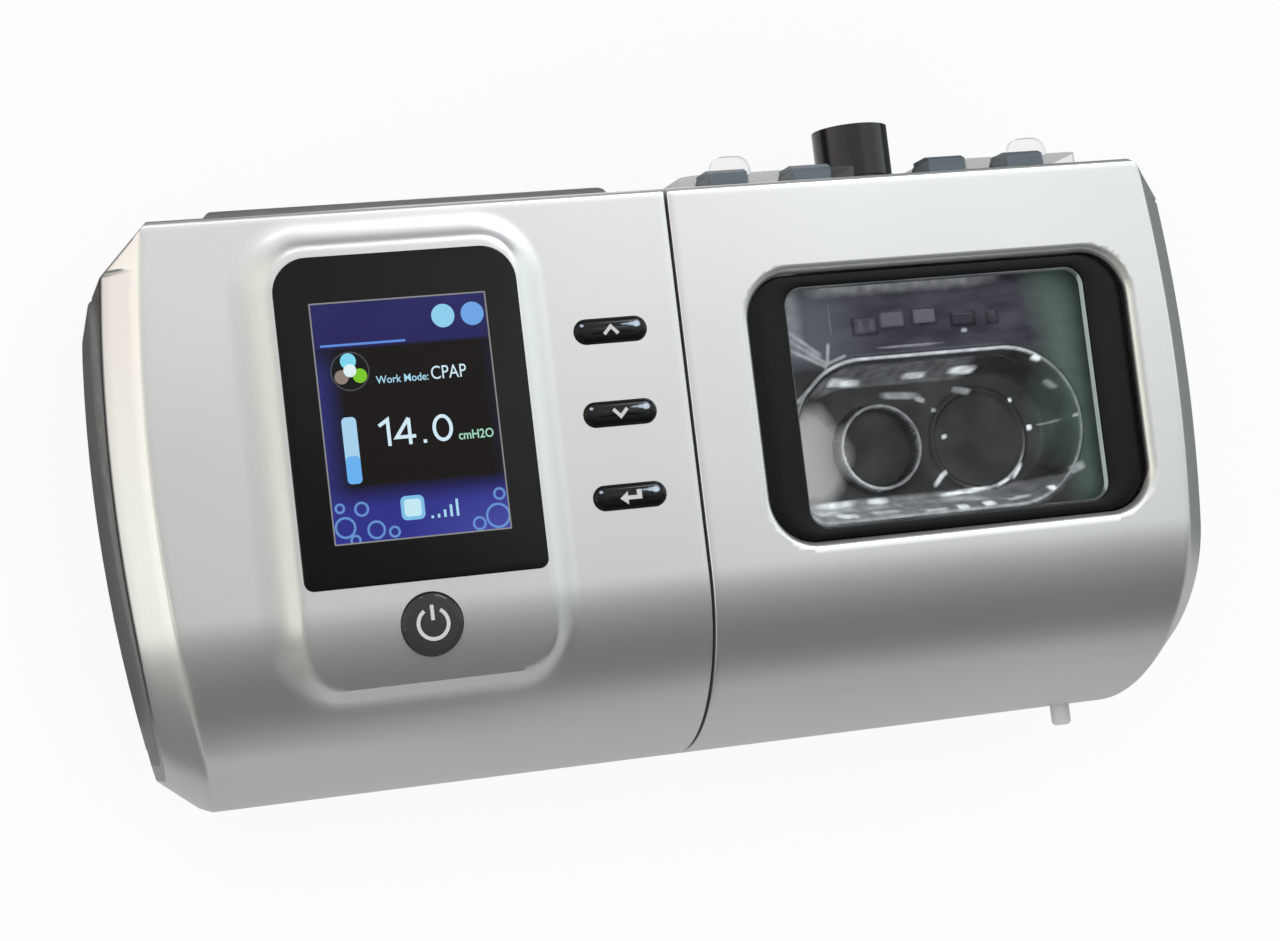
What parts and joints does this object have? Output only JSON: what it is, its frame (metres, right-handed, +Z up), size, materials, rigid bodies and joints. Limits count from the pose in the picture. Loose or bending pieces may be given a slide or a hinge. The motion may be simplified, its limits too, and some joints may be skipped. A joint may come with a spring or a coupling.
{
  "type": "cpap machine",
  "caption": "Bedside CPAP machine: silver blower unit with colour screen and keys, joined to a humidifier with a window, clear water tank and rear hose outlet.",
  "frame": {"origin": "middle of the outer box in plan, on the surface the feet stand on", "axes": "+X from the blower unit to the humidifier, +Y from the front to the back where the hose leaves, +Z up"},
  "size_m": [0.3202, 0.1828, 0.1089],
  "materials": {
    "silver_paint": "satin silver paint",
    "dark_silver_paint": "satin dark silver paint",
    "gloss_black": "high gloss",
    "black_plastic": "satin",
    "clear_plastic": "clear moulded polycarbonate",
    "slate_plastic": "satin",
    "steel": "plain",
    "aluminium": "brushed",
    "silicone": "matt",
    "rubber": "matt",
    "board_green": "solder mask",
    "component_black": "moulded",
    "foam": "open cell foam"
  },
  "bodies": {
    "main": {"main_upper_shell": "silver_paint", "main_lower_shell": "dark_silver_paint", "display_lens": "gloss_black", "display_module": "steel", "display_board": "board_green", "tactile_switches": "component_black", "blower_lower_volute": "black_plastic", "blower_upper_volute": "black_plastic", "blower_stator": "steel", "blower_bearings": "steel", "blower_mounts": "silicone", "outlet_bellows": "silicone", "muffler_box": "black_plastic", "muffler_foam": "foam", "inlet_filter": "foam", "dc_jack": "black_plastic", "card_socket": "steel", "board_standoffs": "steel", "control_board": "board_green", "board_components": "component_black", "pressure_tube": "silicone", "main_screws": "steel", "main_feet": "rubber"},
    "power_key": {"power_button": "gloss_black"},
    "up_key": {"up_button": "gloss_black"},
    "down_key": {"down_button": "gloss_black"},
    "enter_key": {"enter_button": "gloss_black"},
    "rotor": {"blower_impeller": "black_plastic", "blower_shaft": "steel", "blower_rotor": "steel"},
    "filter_door": {"filter_cover": "dark_silver_paint"},
    "card_flap": {"card_door": "dark_silver_paint"},
    "humidifier": {"humidifier_upper_shell": "silver_paint", "humidifier_lower_shell": "dark_silver_paint", "window_frame": "black_plastic", "window_pane": "clear_plastic", "heater_plate": "aluminium", "heater_element": "component_black", "heater_insulator": "foam", "heater_board": "board_green", "port_gasket": "silicone", "humidifier_screws": "steel", "humidifier_feet": "rubber"},
    "tank": {"water_tank": "clear_plastic", "tank_lid": "clear_plastic", "tank_seal": "silicone", "air_outlet": "black_plastic"},
    "clip_1": {"tank_clip_1": "slate_plastic"},
    "clip_2": {"tank_clip_2": "slate_plastic"},
    "clip_3": {"tank_clip_3": "slate_plastic"},
    "clip_4": {"tank_clip_4": "slate_plastic"},
    "pin": {"eject_pin": "clear_plastic"}
  },
  "joints": [
    {"name": "power_press", "type": "slide", "parent": "main", "child": "power_key", "axis": [0, 0, -1], "range_m": [0, 0.0008], "stiffness_N_per_m": 400},
    {"name": "up_press", "type": "slide", "parent": "main", "child": "up_key", "axis": [0, 0, -1], "range_m": [0, 0.0008], "stiffness_N_per_m": 400},
    {"name": "down_press", "type": "slide", "parent": "main", "child": "down_key", "axis": [0, 0, -1], "range_m": [0, 0.0008], "stiffness_N_per_m": 400},
    {"name": "enter_press", "type": "slide", "parent": "main", "child": "enter_key", "axis": [0, 0, -1], "range_m": [0, 0.0008], "stiffness_N_per_m": 400},
    {"name": "blower_spin", "type": "hinge", "parent": "main", "child": "rotor", "pos_m": [-0.052, -0.014, 0.05], "axis": [0, 0, 1], "continuous": true},
    {"name": "filter_cover_hinge", "type": "hinge", "parent": "main", "child": "filter_door", "pos_m": [-0.106, 0.0756, 0.0322], "axis": [-1, 0, 0], "range_deg": [0, 90]},
    {"name": "card_door_hinge", "type": "hinge", "parent": "main", "child": "card_flap", "pos_m": [-0.066, 0.076, 0.0195], "axis": [-1, 0, 0], "range_deg": [0, 90]},
    {"name": "humidifier_slide", "type": "slide", "parent": "main", "child": "humidifier", "axis": [1, 0, 0], "range_m": [0, 0.04]},
    {"name": "tank_slide", "type": "slide", "parent": "humidifier", "child": "tank", "axis": [0, 1, 0], "range_m": [0, 0.13]},
    {"name": "clip_1_hinge", "type": "hinge", "parent": "tank", "child": "clip_1", "pos_m": [0.0218, 0.0746, 0.0865], "axis": [-1, 0, 0], "range_deg": [0, 60]},
    {"name": "clip_2_hinge", "type": "hinge", "parent": "tank", "child": "clip_2", "pos_m": [0.0471, 0.0746, 0.0865], "axis": [-1, 0, 0], "range_deg": [0, 60]},
    {"name": "clip_3_hinge", "type": "hinge", "parent": "tank", "child": "clip_3", "pos_m": [0.0892, 0.0746, 0.0865], "axis": [-1, 0, 0], "range_deg": [0, 60]},
    {"name": "clip_4_hinge", "type": "hinge", "parent": "tank", "child": "clip_4", "pos_m": [0.1139, 0.0746, 0.0865], "axis": [-1, 0, 0], "range_deg": [0, 60]},
    {"name": "eject_pin_press", "type": "slide", "parent": "humidifier", "child": "pin", "axis": [0, 1, 0], "range_m": [0, 0.004], "stiffness_N_per_m": 200}
  ]
}
